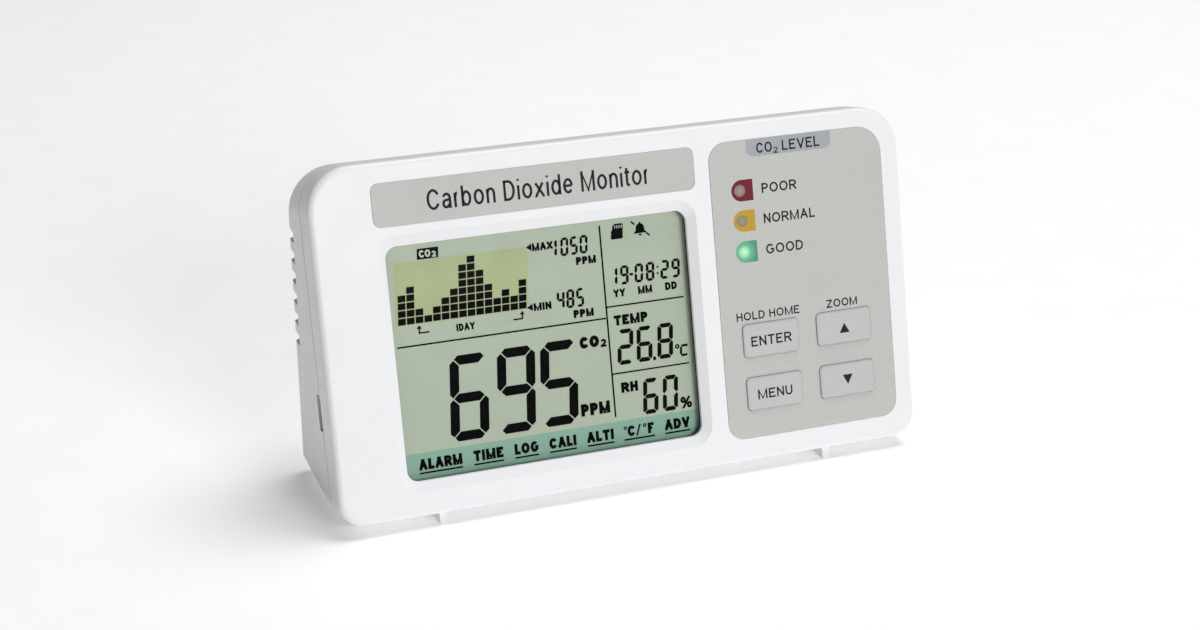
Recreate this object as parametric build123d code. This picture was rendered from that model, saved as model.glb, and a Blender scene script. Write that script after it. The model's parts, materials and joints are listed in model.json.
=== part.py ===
from build123d import *
import os
from math import cos, radians, sin

os.makedirs("parts", exist_ok=True)

# A desktop carbon dioxide monitor: a wide flat face that leans back, on a
# wedge-shaped rear shell with a vertical back and two low runner feet.
# Millimetres. +X is to the right of the face, +Z is up, and the face looks
# towards -Y. The origin is the bottom centre of the whole object's box.
#
# Most pieces are drawn in the face's own frame and then leaned back. There, X
# is the same, Z runs up the face from its lower edge, and Y is the depth
# behind the flat of the face.

# ---- driving dimensions ----
FACE_WIDTH = 154.7
FACE_HEIGHT = 86.85
CASE_DEPTH = 41.5
LEAN = 14.26
WALL = 2.2
TOP_CORNER = 11.0
BOTTOM_CORNER = 6.3
EDGE_ROUND = 1.5
SIDE_DRAFT = 0.05
FRONT_DEPTH = 9.2
SEAM = 0.8
UNDERSIDE_HEIGHT = 4.8
FOOT_DROP = 3.35

# ---- rear shell ----
REAR_INSET = 0.05
REAR_TAPER_TOP = 2.6
REAR_REACH = 46.0
REAR_EDGE_ROUND = 1.2
LIP_DEPTH = 1.6
LIP_WALL = 0.8
LIP_GAP = 0.15
LIP_ROOT = 1.2
LIP_BOTTOM = 9.0
VENT_COUNT = 6
VENT_PITCH = 5.44
VENT_HEIGHT = 2.9
VENT_BOTTOM = 36.6
VENT_REACH_SIDE = 5.0
VENT_REACH_BACK = 9.0
KEYHOLE_X = 42.0
KEYHOLE_Z = 60.0
KEYHOLE_ENTRY = 3.9
KEYHOLE_SLOT = 2.0
KEYHOLE_RISE = 7.0

# ---- feet ----
FOOT_X = 51.7
FOOT_WIDTH = 1.8
FOOT_FRONT = 1.8
FOOT_BACK = 38.0
FOOT_ROUND = 0.7

# ---- display ----
WINDOW_LEFT = -59.7
WINDOW_RIGHT = 17.7
WINDOW_BOTTOM = 8.6
WINDOW_TOP = 66.35
WINDOW_CORNER = 3.0
BEVEL_SIDE = 2.3
BEVEL_BOTTOM = 2.5
BEVEL_TOP = 2.75
BEVEL_DEPTH = 1.2
LENS_MARGIN = 1.9
LENS_FRONT = 2.25
LENS_THICK = 0.9
GLASS_MARGIN = 1.6
GLASS_FRONT = 4.0
GLASS_THICK = 2.2
FRAME_WALL = 2.0
STRIP_WIDTH = 2.0

# ---- face films and keys ----
FILM_THICK = 0.3
FILM_POCKET = 0.25
FILM_GAP = 0.12
TITLE_LEFT = -62.0
TITLE_RIGHT = 20.5
TITLE_BOTTOM = 71.2
TITLE_TOP = 81.9
TITLE_CORNER = 2.0
PANEL_LEFT = 24.4
PANEL_RIGHT = 72.2
PANEL_BOTTOM = 6.0
PANEL_TOP = 82.1
PANEL_CORNER_INNER = 5.0
PANEL_CORNER_OUTER = 7.0
PANEL_CORNER_LOW = 4.5
KEY_WIDTH = 15.5
KEY_HEIGHT = 8.6
KEY_CORNER = 1.2
KEY_PROUD = 0.4
KEY_GAP = 0.1
KEY_FLANGE = 1.0
KEY_FLANGE_THICK = 0.8
PUSHER_RADIUS = 1.6
KEYS = {
    "enter": (37.85, 31.05),
    "menu": (37.85, 17.3),
    "up": (58.45, 31.25),
    "down": (58.45, 17.4),
}
LED_X = 32.3
LED_HEIGHTS = {"poor": 69.4, "normal": 61.7, "good": 53.9}
LED_RADIUS = 1.5
LED_TIP = 0.35
LED_COLLAR = 0.4
LED_BACK = 5.2
LEAD_PITCH = 2.54
LEAD_HALF = 0.25

# ---- main board and what it carries ----
BOARD_FRONT = 8.0
BOARD_THICK = 1.6
BOARD_BACK = BOARD_FRONT + BOARD_THICK
BOARD_LEFT = -64.5
BOARD_RIGHT = 64.5
BOARD_BOTTOM = 8.0
BOARD_TOP = 80.5
SWITCH_SIDE = 6.0
SWITCH_THICK = 3.5
PLUNGER_TOP = 3.6
PLUNGER_RADIUS = 1.7
PLUNGER_REACH = 1.1
BOARD_SCREWS = [(-60.0, 76.5), (61.5, 76.5), (61.5, 55.0), (25.2, 11.5)]
CASE_SCREWS = [(-71.2, 18.5), (71.2, 18.5), (-69.3, 76.0), (69.3, 76.0)]
BOSS_RADIUS = 3.3
SCREW_RADIUS = 1.3
HEAD_RADIUS = 2.7
WELL_RADIUS = 3.1
WELL_SEAT = 12.0
HEAD_THICK = 2.0
BOARD_HEAD_RADIUS = 2.3
BOARD_HEAD_THICK = 1.5
CROSS_HALF = 0.35
POST_RADIUS = 4.35
USB_Z = 27.1
USB_WIDTH = 7.5
USB_THICK = 2.5
USB_OPENING = 9.1
USB_OPENING_DEPTH = 3.0
USB_RECESS = 0.3
USB_DEPTH = 5.8
USB_WALL = 0.3
USB_TONGUE_HALF = 2.4
BOARD_TAB_LEFT = -73.5
CARD_Z = 36.0
CARD_WIDTH = 24.0
CARD_LENGTH = 32.0
CARD_THICK = 2.1
CARD_FRONT = BOARD_BACK + 0.9
CARD_PROUD = -0.3
THUMB_RADIUS = 14.0
THUMB_DEPTH = 1.2
SENSOR_LEFT = -62.0
SENSOR_BOTTOM = 38.0
SENSOR_LENGTH = 34.0
SENSOR_HEIGHT = 22.0
SENSOR_STANDOFF = 2.5
SENSOR_BOARD_THICK = 1.2
HEADER_PINS = 7
HEADER_LEFT = SENSOR_LEFT + 5
HEADER_Z = SENSOR_BOTTOM + 1.5
HEADER_HALF = 1.2
PIN_HALF = 0.32
CHAMBER_FRONT = BOARD_BACK + SENSOR_STANDOFF + SENSOR_BOARD_THICK
CHAMBER_BACK = CHAMBER_FRONT + 7.0
CHAMBER_LEFT = SENSOR_LEFT + 5
CHAMBER_RIGHT = SENSOR_LEFT + 28
CHAMBER_BOTTOM = SENSOR_BOTTOM + 3
CHAMBER_TOP = SENSOR_BOTTOM + 19
CHAMBER_X = (CHAMBER_LEFT + CHAMBER_RIGHT) / 2
CHAMBER_Z = (CHAMBER_BOTTOM + CHAMBER_TOP) / 2
CHAMBER_ROUND = 2.0
BEAM_DEPTH = (CHAMBER_FRONT + CHAMBER_BACK) / 2
BEAM_RADIUS = 2.6
BEAM_PART_RADIUS = 2.5
BEAM_PART_REACH = 3.0
MEMBRANE_RADIUS = 5.5
MEMBRANE_THICK = 0.5

# ---- small parts on the main board ----
HUMIDITY_X = -54.0
HUMIDITY_Z = 70.0
HUMIDITY_HALF = 4.0
HUMIDITY_HEIGHT = 3.0
BUZZER_X = 30.0
BUZZER_Z = 46.0
BUZZER_RADIUS = 6.0
BUZZER_HEIGHT = 8.5
SOUND_RADIUS = 0.8
SOUND_STEP = 3.0
CHIP_X = -3.0
CHIP_Z = 47.0
CHIP_HALF = 7.0
CHIP_HEIGHT = 1.7
CHIP_LEADS = 12
CHIP_LEAD_PITCH = 1.0
CHIP_LEAD_HALF = 0.2
CHIP_LEAD_REACH = 1.2
CRYSTAL_X = -3.0
CRYSTAL_Z = 62.0
CRYSTAL_LENGTH = 11.0
CRYSTAL_WIDTH = 4.6
CRYSTAL_HEIGHT = 3.5
CAPACITORS = [(-24.0, 26.0), (-36.0, 26.0)]
CAPACITOR_RADIUS = 4.0
CAPACITOR_HEIGHT = 9.0
CELL_X = 14.0
CELL_Z = 68.0
CELL_RADIUS = 10.0
CELL_THICK = 3.2
CELL_LIFT = 1.0
HOLDER_RADIUS = 11.5
CLIP_X = 10.2
CLIP_HALF_WIDTH = 1.3
CLIP_HALF_HEIGHT = 2.0

# ---- rating label on the back ----
LABEL_HALF_WIDTH = 26.0
LABEL_BOTTOM = 12.0
LABEL_TOP = 34.0
LABEL_THICK = 0.15

# ---- derived ----
tilt = radians(LEAN)
round_setback = EDGE_ROUND * (cos(tilt) + sin(tilt) - 1)
face_y = -CASE_DEPTH / 2 - round_setback
back_y = CASE_DEPTH / 2
half_width = FACE_WIDTH / 2
lean = Location((0, face_y, FOOT_DROP), (-LEAN, 0, 0))


# ---- helpers ----
def face_plane(depth):
    """The plane of the face, moved back by a depth; its normal looks forward."""
    return Plane(origin=(0, depth, 0), x_dir=(1, 0, 0), z_dir=(0, -1, 0))


def slab(sketch, front, back):
    """A sketch in face coordinates, made solid between two depths."""
    return extrude(face_plane(front) * sketch, amount=-(back - front))


def outline(left, right, bottom, top, top_radius, bottom_radius):
    """A rectangle with one radius at its top corners and one at its bottom."""
    shape = Pos((left + right) / 2, (bottom + top) / 2) * Rectangle(right - left, top - bottom)
    if bottom_radius > 0:
        shape = fillet(shape.vertices().sort_by(Axis.Y)[:2], bottom_radius)
    if top_radius > 0:
        shape = fillet(shape.vertices().sort_by(Axis.Y)[-2:], top_radius)
    return shape


def block(left, right, bottom, top, front, back):
    """A plain box in face coordinates."""
    return slab(outline(left, right, bottom, top, 0, 0), front, back)


def peg(x, z, radius, front, back):
    """A round bar along the face's normal."""
    return slab(Pos(x, z) * Circle(radius), front, back)


def row_box(left, right, front, back, bottom, top):
    """A box in the upright frame of the whole object."""
    centre = Pos((left + right) / 2, (front + back) / 2, (bottom + top) / 2)
    return centre * Box(right - left, back - front, top - bottom)


def case_outline(inset, spread=0):
    """The outline of the face, drawn in by an inset and spread sideways."""
    return outline(
        inset - half_width - spread,
        half_width - inset + spread,
        inset,
        FACE_HEIGHT - inset,
        max(TOP_CORNER - inset, 0.8),
        max(BOTTOM_CORNER - inset, 0.8),
    )


def window_outline(side, bottom, top, radius):
    """The display window's outline, grown by a margin on each edge."""
    return outline(
        WINDOW_LEFT - side,
        WINDOW_RIGHT + side,
        WINDOW_BOTTOM - bottom,
        WINDOW_TOP + top,
        radius,
        radius,
    )


def title_outline(inset):
    radius = TITLE_CORNER - inset
    return outline(
        TITLE_LEFT + inset,
        TITLE_RIGHT - inset,
        TITLE_BOTTOM + inset,
        TITLE_TOP - inset,
        radius,
        radius,
    )


def panel_outline(inset):
    """The control panel: its outer top corner is rounder than its inner one."""
    width = PANEL_RIGHT - PANEL_LEFT - 2 * inset
    height = PANEL_TOP - PANEL_BOTTOM - 2 * inset
    centre = Pos((PANEL_LEFT + PANEL_RIGHT) / 2, (PANEL_BOTTOM + PANEL_TOP) / 2)
    shape = centre * Rectangle(width, height)
    shape = fillet(shape.vertices().sort_by(Axis.Y)[:2], PANEL_CORNER_LOW - inset)
    upper = shape.vertices().sort_by(Axis.Y)[-2:].sort_by(Axis.X)
    shape = fillet(upper[-1], PANEL_CORNER_OUTER - inset)
    inner = shape.vertices().sort_by(Axis.Y)[-2:].sort_by(Axis.X)
    return fillet(inner[0], PANEL_CORNER_INNER - inset)


def key_outline(name, margin):
    x, z = KEYS[name]
    size = Rectangle(KEY_WIDTH + 2 * margin, KEY_HEIGHT + 2 * margin)
    return fillet((Pos(x, z) * size).vertices(), KEY_CORNER + margin)


def save(node, shape, leaned=True):
    """Put a piece in the row's frame and write its STEP file."""
    placed = lean * shape if leaned else shape
    placed.label = node
    export_step(placed, f"parts/{node}.step")


# ---- case ----
def front_housing():
    """The front shell: a shallow tray with the bevelled display window."""
    near = (Sketch() + face_plane(0) * case_outline(0)).faces()[0]
    far = (Sketch() + face_plane(FRONT_DEPTH) * case_outline(0, SIDE_DRAFT)).faces()[0]
    shell = loft([near, far])
    front_edges = shell.faces().sort_by(Axis.Y)[0].edges()
    shell = fillet(front_edges, EDGE_ROUND)
    shell -= slab(case_outline(WALL), WALL, FRONT_DEPTH + 1)
    bevel = Sketch() + face_plane(0) * window_outline(
        BEVEL_SIDE, BEVEL_BOTTOM, BEVEL_TOP, WINDOW_CORNER + BEVEL_SIDE
    )
    throat = Sketch() + face_plane(BEVEL_DEPTH) * window_outline(0, 0, 0, WINDOW_CORNER)
    shell -= loft([bevel.faces()[0], throat.faces()[0]])
    shell -= slab(window_outline(0, 0, 0, WINDOW_CORNER), BEVEL_DEPTH - 0.01, WALL + 1)
    shell -= slab(title_outline(0), -1, FILM_POCKET)
    shell -= slab(panel_outline(0), -1, FILM_POCKET)
    for name in KEYS:
        shell -= slab(key_outline(name, KEY_GAP), -1, WALL + 1)
    for z in LED_HEIGHTS.values():
        shell -= peg(LED_X, z, LED_RADIUS + 0.15, -1, WALL + 1)
    for x, z in CASE_SCREWS:
        shell += peg(x, z, BOSS_RADIUS, WALL - 0.2, FRONT_DEPTH)
        shell -= peg(x, z, SCREW_RADIUS, WALL + 1, FRONT_DEPTH + 1)
    for x, z in BOARD_SCREWS:
        shell += peg(x, z, BOSS_RADIUS - 0.7, WALL - 0.2, BOARD_FRONT)
        shell -= peg(x, z, SCREW_RADIUS - 0.3, WALL + 1, BOARD_FRONT + 1)
    # the lower edge hangs below the rear shell, so a bar closes it from behind
    bar_top = (UNDERSIDE_HEIGHT - FOOT_DROP + FRONT_DEPTH * sin(tilt)) / cos(tilt) + WALL
    bar = block(WALL - half_width, half_width - WALL, WALL - 0.2, bar_top, BOARD_FRONT + 0.05, FRONT_DEPTH)
    return shell + (bar & slab(case_outline(WALL - 0.1), 0, FRONT_DEPTH))


def wedge(inset, start):
    """The rear shell's outer form, or its hollow when drawn in by an inset."""
    near = case_outline(inset, SIDE_DRAFT)
    far = outline(
        inset - half_width - SIDE_DRAFT,
        half_width - inset + SIDE_DRAFT,
        inset,
        FACE_HEIGHT - inset - REAR_TAPER_TOP,
        TOP_CORNER - inset,
        BOTTOM_CORNER - inset,
    )
    near_face = (Sketch() + face_plane(start) * near).faces()[0]
    far_face = (Sketch() + face_plane(REAR_REACH) * far).faces()[0]
    return lean * loft([near_face, far_face])


def vents():
    """Horizontal slots cut through both upright rear edges."""
    cuts = []
    for side in (-1, 1):
        for index in range(VENT_COUNT):
            bottom = VENT_BOTTOM + index * VENT_PITCH
            inner = side * (half_width - VENT_REACH_BACK)
            outer = side * (half_width + 1)
            cuts.append(
                row_box(
                    min(inner, outer),
                    max(inner, outer),
                    back_y - VENT_REACH_SIDE,
                    back_y + 1,
                    bottom,
                    bottom + VENT_HEIGHT,
                )
            )
    return cuts


def keyhole(x):
    """A hanging hole in the back wall: a round entry with a slot above it."""
    entry = Pos(x, back_y, KEYHOLE_Z) * Rot(90, 0, 0) * Cylinder(KEYHOLE_ENTRY, 4 * WALL)
    top = Pos(x, back_y, KEYHOLE_Z + KEYHOLE_RISE) * Rot(90, 0, 0) * Cylinder(KEYHOLE_SLOT, 4 * WALL)
    slot = row_box(
        x - KEYHOLE_SLOT,
        x + KEYHOLE_SLOT,
        back_y - 2 * WALL,
        back_y + 1,
        KEYHOLE_Z,
        KEYHOLE_Z + KEYHOLE_RISE,
    )
    return entry + top + slot


def rear_housing():
    """The rear shell: vertical back, level underside, vents and screw wells."""
    start = FRONT_DEPTH + SEAM
    envelope = row_box(-100, 100, -60, back_y, UNDERSIDE_HEIGHT, 120)
    shell = wedge(REAR_INSET, start) & envelope
    back_edges = shell.faces().sort_by(Axis.Y)[-1].edges()
    shell = fillet(back_edges, REAR_EDGE_ROUND)
    hollow_room = row_box(-100, 100, -60, back_y - WALL, UNDERSIDE_HEIGHT + WALL, 120)
    hollow = wedge(REAR_INSET + WALL, start - 1) & hollow_room
    solid_form = shell
    shell -= hollow
    shell += lean * seam_lip(start)
    for x, z in CASE_SCREWS:
        shell += (lean * peg(x, z, POST_RADIUS, start, REAR_REACH)) & solid_form
        shell += lean * peg(x, z, BOSS_RADIUS, FRONT_DEPTH, start + 1)
        shell -= lean * peg(x, z, WELL_RADIUS, WELL_SEAT, REAR_REACH)
        shell -= lean * peg(x, z, SCREW_RADIUS + 0.3, 0, REAR_REACH)
    for cut in vents():
        shell -= cut
    for side in (-1, 1):
        shell -= keyhole(side * KEYHOLE_X)
    shell -= lean * usb_opening()
    shell -= lean * card_opening()
    for x, z in ((0, 0), (1, 0), (-1, 0), (0, 1), (0, -1)):
        sound_hole = Rot(90, 0, 0) * Cylinder(SOUND_RADIUS, 4 * WALL)
        shell -= Pos(BUZZER_X + x * SOUND_STEP, back_y, BUZZER_Z + z * SOUND_STEP) * sound_hole
    return shell - row_box(
        -LABEL_HALF_WIDTH, LABEL_HALF_WIDTH, back_y - LABEL_THICK, back_y + 1, LABEL_BOTTOM, LABEL_TOP
    )


def seam_lip(start):
    """A thin lip that reaches forward inside the front shell and hides the seam."""
    lip = slab(case_outline(WALL + LIP_GAP), FRONT_DEPTH - LIP_DEPTH, start + LIP_ROOT)
    lip += slab(case_outline(WALL / 2), start, start + LIP_ROOT)
    lip -= slab(case_outline(WALL + LIP_GAP + LIP_WALL), 0, start + 2 * LIP_ROOT)
    lip &= block(-half_width, half_width, LIP_BOTTOM, FACE_HEIGHT, 0, start + 2 * LIP_ROOT)
    card_half = CARD_WIDTH / 2 + 1
    lip -= block(0, half_width, CARD_Z - card_half, CARD_Z + card_half, 0, start + 2 * LIP_ROOT)
    for x, z in CASE_SCREWS:
        lip -= peg(x, z, BOSS_RADIUS + 0.2, 0, FRONT_DEPTH)
    return lip


def usb_opening():
    half = USB_OPENING / 2
    return block(
        -half_width - 1,
        -half_width + 2 * WALL,
        USB_Z - half,
        USB_Z + half,
        FRONT_DEPTH,
        FRONT_DEPTH + SEAM + USB_OPENING_DEPTH,
    )


def card_opening():
    """The slot for the memory card, with a shallow scallop for a fingertip."""
    half = CARD_WIDTH / 2 + 0.5
    scallop = Pos(
        half_width - REAR_INSET + THUMB_RADIUS - THUMB_DEPTH, CARD_FRONT + CARD_THICK / 2, CARD_Z
    ) * Sphere(THUMB_RADIUS)
    return scallop + block(
        half_width - 3 * WALL,
        half_width + 1,
        CARD_Z - half,
        CARD_Z + half,
        CARD_FRONT - 0.45,
        CARD_FRONT + CARD_THICK + 0.45,
    )


def foot(side):
    """A thin runner under the case, level with the table."""
    x = side * FOOT_X
    blade = row_box(x - FOOT_WIDTH / 2, x + FOOT_WIDTH / 2, face_y, face_y + FOOT_BACK, 0, 14)
    blade &= lean * block(-half_width, half_width, -20, 60, FOOT_FRONT, 60)
    upright = blade.edges().filter_by(Axis.Z).sort_by(Axis.Y)[-2:]
    blade = fillet(upright, FOOT_ROUND)
    blade -= lean * block(-half_width, half_width, 0, 60, 0, FRONT_DEPTH + SEAM)
    return blade - row_box(-100, 100, face_y, back_y, UNDERSIDE_HEIGHT, 60)


# ---- display ----
def display_window():
    lens = window_outline(LENS_MARGIN, LENS_MARGIN, LENS_MARGIN, WINDOW_CORNER)
    return slab(lens, LENS_FRONT - 0.05, LENS_FRONT + LENS_THICK)


def lcd_glass():
    pane = window_outline(GLASS_MARGIN, GLASS_MARGIN, GLASS_MARGIN, 0.5)
    return slab(pane, GLASS_FRONT, GLASS_FRONT + GLASS_THICK)


def lcd_frame():
    margin = GLASS_MARGIN + 0.1
    outer = window_outline(margin + FRAME_WALL, margin + FRAME_WALL, margin + FRAME_WALL, 1)
    inner = window_outline(margin, margin, margin, 0.5)
    front = LENS_FRONT + LENS_THICK
    ring = slab(outer, front, BOARD_FRONT) - slab(inner, front - 1, BOARD_FRONT + 1)
    lip = slab(inner, front, GLASS_FRONT)
    lip -= slab(window_outline(0.4, 0.4, 0.4, WINDOW_CORNER), front - 1, GLASS_FRONT + 1)
    return ring + lip


def lcd_backlight():
    back = GLASS_FRONT + GLASS_THICK
    pane = window_outline(GLASS_MARGIN, GLASS_MARGIN, -0.8, 0.5)
    return slab(pane, back, BOARD_FRONT)


def contact_strip():
    """The striped rubber strip that joins the glass to the board."""
    bottom = WINDOW_TOP - 0.6
    back = GLASS_FRONT + GLASS_THICK
    return block(WINDOW_LEFT, WINDOW_RIGHT, bottom, bottom + STRIP_WIDTH, back, BOARD_FRONT)


# ---- face ----
def control_overlay():
    """The printed film: it runs over the lamps, and the keys pass through it."""
    film = slab(panel_outline(FILM_GAP), FILM_POCKET - FILM_THICK, FILM_POCKET)
    for name in KEYS:
        film -= slab(key_outline(name, KEY_GAP), -1, 1)
    return film


def title_label():
    return slab(title_outline(FILM_GAP), FILM_POCKET - FILM_THICK, FILM_POCKET)


def key(name):
    """A key cap with the flange that keeps it in the shell, and its pusher."""
    x, z = KEYS[name]
    flange_front = WALL + 0.05
    flange_back = flange_front + KEY_FLANGE_THICK
    cap = slab(key_outline(name, 0), -KEY_PROUD, flange_front + 0.1)
    cap = fillet(cap.faces().sort_by(Axis.Y)[0].edges(), 0.3)
    cap += slab(key_outline(name, KEY_FLANGE), flange_front, flange_back)
    return cap + peg(x, z, PUSHER_RADIUS, flange_front + 0.1, PLUNGER_TOP)


def switch_body(name):
    x, z = KEYS[name]
    half = SWITCH_SIDE / 2
    front = BOARD_FRONT - SWITCH_THICK
    body = block(x - half, x + half, z - half, z + half, front, BOARD_FRONT)
    body = chamfer(body.edges().filter_by(Axis.Y), 0.6)
    return body - peg(x, z, PLUNGER_RADIUS + 0.15, front - 1, front + PLUNGER_REACH + 0.6)


def switch_plunger(name):
    x, z = KEYS[name]
    return peg(x, z, PLUNGER_RADIUS, PLUNGER_TOP, BOARD_FRONT - SWITCH_THICK + PLUNGER_REACH)


def led(name):
    """A round 3 mm lamp: domed tip, collar and two leads to the board."""
    z = LED_HEIGHTS[name]
    dome_depth = LED_TIP + LED_RADIUS
    body = peg(LED_X, z, LED_RADIUS, dome_depth, LED_BACK)
    body += Pos(LED_X, dome_depth, z) * Sphere(LED_RADIUS)
    body += peg(LED_X, z, LED_RADIUS + LED_COLLAR, LED_BACK - 1, LED_BACK)
    for side in (-1, 1):
        x = LED_X + side * LEAD_PITCH / 2
        body += peg(x, z, LEAD_HALF, LED_BACK - 0.1, BOARD_FRONT)
    return body


# ---- electronics ----
def main_board():
    board = block(BOARD_LEFT, BOARD_RIGHT, BOARD_BOTTOM, BOARD_TOP, BOARD_FRONT, BOARD_BACK)
    board = fillet(board.edges().filter_by(Axis.Y), 1.5)
    board += block(BOARD_TAB_LEFT, BOARD_LEFT + 1, USB_Z - 4.4, USB_Z + 4.4, BOARD_FRONT, BOARD_BACK)
    for x, z in BOARD_SCREWS:
        board -= peg(x, z, SCREW_RADIUS, 0, 20)
    return board


def board_screw(x, z):
    head = peg(x, z, BOARD_HEAD_RADIUS, BOARD_BACK, BOARD_BACK + BOARD_HEAD_THICK)
    head = fillet(head.faces().sort_by(Axis.Y)[-1].edges(), 0.6)
    screw = head + peg(x, z, SCREW_RADIUS - 0.35, BOARD_FRONT - 4.5, BOARD_BACK)
    return cut_cross(screw, x, z, BOARD_BACK + BOARD_HEAD_THICK, 1.3)


def case_screw(x, z):
    head = peg(x, z, HEAD_RADIUS, WELL_SEAT, WELL_SEAT + HEAD_THICK)
    head = fillet(head.faces().sort_by(Axis.Y)[-1].edges(), 0.8)
    screw = head + peg(x, z, SCREW_RADIUS - 0.05, FRONT_DEPTH - 5, WELL_SEAT)
    return cut_cross(screw, x, z, WELL_SEAT + HEAD_THICK, 1.6)


def cut_cross(screw, x, z, top, reach):
    """The cross-shaped drive recess in a screw's head."""
    screw -= block(x - reach, x + reach, z - CROSS_HALF, z + CROSS_HALF, top - 1, top + 1)
    return screw - block(x - CROSS_HALF, x + CROSS_HALF, z - reach, z + reach, top - 1, top + 1)


def usb_socket():
    left = -half_width + REAR_INSET + USB_RECESS
    half = USB_WIDTH / 2
    back = BOARD_BACK + USB_THICK
    shell = block(left, left + USB_DEPTH, USB_Z - half, USB_Z + half, BOARD_BACK, back)
    shell = fillet(shell.edges().filter_by(Axis.X), 0.5)
    mouth = block(
        left - 1,
        left + USB_DEPTH - 1,
        USB_Z - half + USB_WALL,
        USB_Z + half - USB_WALL,
        BOARD_BACK + USB_WALL,
        back - USB_WALL,
    )
    tongue = block(
        left + 0.8,
        left + USB_DEPTH - 0.5,
        USB_Z - USB_TONGUE_HALF,
        USB_Z + USB_TONGUE_HALF,
        BOARD_BACK + 1,
        BOARD_BACK + 1.6,
    )
    return shell - mouth + tongue


def card_right():
    return half_width - REAR_INSET + CARD_PROUD


def card_socket():
    """The metal card reader, open at the case's right side."""
    half = CARD_WIDTH / 2 + 0.3
    right = half_width - 3.2 * WALL
    left = card_right() - CARD_LENGTH - 2
    front = BOARD_BACK
    back = CARD_FRONT + CARD_THICK + 0.6
    can = block(left, right, CARD_Z - half - 0.6, CARD_Z + half + 0.6, front, back)
    inner_back = CARD_FRONT + CARD_THICK + 0.25
    return can - block(left + 0.8, right + 1, CARD_Z - half, CARD_Z + half, CARD_FRONT - 0.25, inner_back)


def memory_card():
    """A full-size memory card with its cut corner."""
    right = card_right()
    left = right - CARD_LENGTH
    half = CARD_WIDTH / 2
    card = block(left, right, CARD_Z - half, CARD_Z + half, CARD_FRONT, CARD_FRONT + CARD_THICK)
    corner = card.edges().filter_by(Axis.Y).sort_by(Axis.X)[:2].sort_by(Axis.Z)[-1]
    card = chamfer(corner, 4)
    return fillet(card.edges().filter_by(Axis.Y).sort_by(Axis.X)[-2:], 1)


def sensor_board():
    front = BOARD_BACK + SENSOR_STANDOFF
    board = block(
        SENSOR_LEFT,
        SENSOR_LEFT + SENSOR_LENGTH,
        SENSOR_BOTTOM,
        SENSOR_BOTTOM + SENSOR_HEIGHT,
        front,
        front + SENSOR_BOARD_THICK,
    )
    for x in header_pins():
        board -= square_pin(x, PIN_HALF + 0.08, front - 1, front + 2 * SENSOR_BOARD_THICK)
    return board


def header_pins():
    return [HEADER_LEFT + (index + 0.5) * LEAD_PITCH for index in range(HEADER_PINS)]


def square_pin(x, half, front, back):
    return block(x - half, x + half, HEADER_Z - half, HEADER_Z + half, front, back)


def side_peg(radius, left, right):
    """A round bar along X on the measuring chamber's axis."""
    centre = Pos((left + right) / 2, BEAM_DEPTH, CHAMBER_Z)
    return centre * Rot(0, 90, 0) * Cylinder(radius, right - left)


def sensor_chamber():
    """The measuring chamber: a metal block with a bore from end to end."""
    chamber = block(CHAMBER_LEFT, CHAMBER_RIGHT, CHAMBER_BOTTOM, CHAMBER_TOP, CHAMBER_FRONT, CHAMBER_BACK)
    chamber = fillet(chamber.edges().filter_by(Axis.Y), CHAMBER_ROUND)
    chamber -= side_peg(BEAM_RADIUS, CHAMBER_LEFT - 1, CHAMBER_RIGHT + 1)
    return chamber - peg(CHAMBER_X, CHAMBER_Z, MEMBRANE_RADIUS - 1.5, BEAM_DEPTH, CHAMBER_BACK + 1)


def sensor_membrane():
    return peg(CHAMBER_X, CHAMBER_Z, MEMBRANE_RADIUS, CHAMBER_BACK, CHAMBER_BACK + MEMBRANE_THICK)


def sensor_lamp():
    return side_peg(BEAM_PART_RADIUS, CHAMBER_LEFT - BEAM_PART_REACH, CHAMBER_LEFT + BEAM_PART_REACH)


def sensor_detector():
    return side_peg(BEAM_PART_RADIUS, CHAMBER_RIGHT - BEAM_PART_REACH, CHAMBER_RIGHT + BEAM_PART_REACH)


def sensor_header():
    """The row of pins and their plastic bar that carry the sensor board."""
    right = HEADER_LEFT + HEADER_PINS * LEAD_PITCH
    bottom = HEADER_Z - HEADER_HALF
    top = HEADER_Z + HEADER_HALF
    bar = block(HEADER_LEFT, right, bottom, top, BOARD_BACK, BOARD_BACK + SENSOR_STANDOFF)
    for x in header_pins():
        bar += square_pin(x, PIN_HALF, BOARD_BACK, CHAMBER_FRONT + 1)
    return bar


def humidity_sensor():
    """A small vented module with a round opening in its cover."""
    left = HUMIDITY_X - HUMIDITY_HALF
    right = HUMIDITY_X + HUMIDITY_HALF
    back = BOARD_BACK + HUMIDITY_HEIGHT
    base = block(left, right, HUMIDITY_Z - HUMIDITY_HALF, HUMIDITY_Z + HUMIDITY_HALF, BOARD_BACK, back)
    return base - peg(HUMIDITY_X, HUMIDITY_Z, 1.5, back - 1.5, back + 1)


def buzzer():
    back = BOARD_BACK + BUZZER_HEIGHT
    can = peg(BUZZER_X, BUZZER_Z, BUZZER_RADIUS, BOARD_BACK, back)
    can = fillet(can.faces().sort_by(Axis.Y)[-1].edges(), 0.6)
    return can - peg(BUZZER_X, BUZZER_Z, 1.2, back - 2.5, back + 1)


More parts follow.
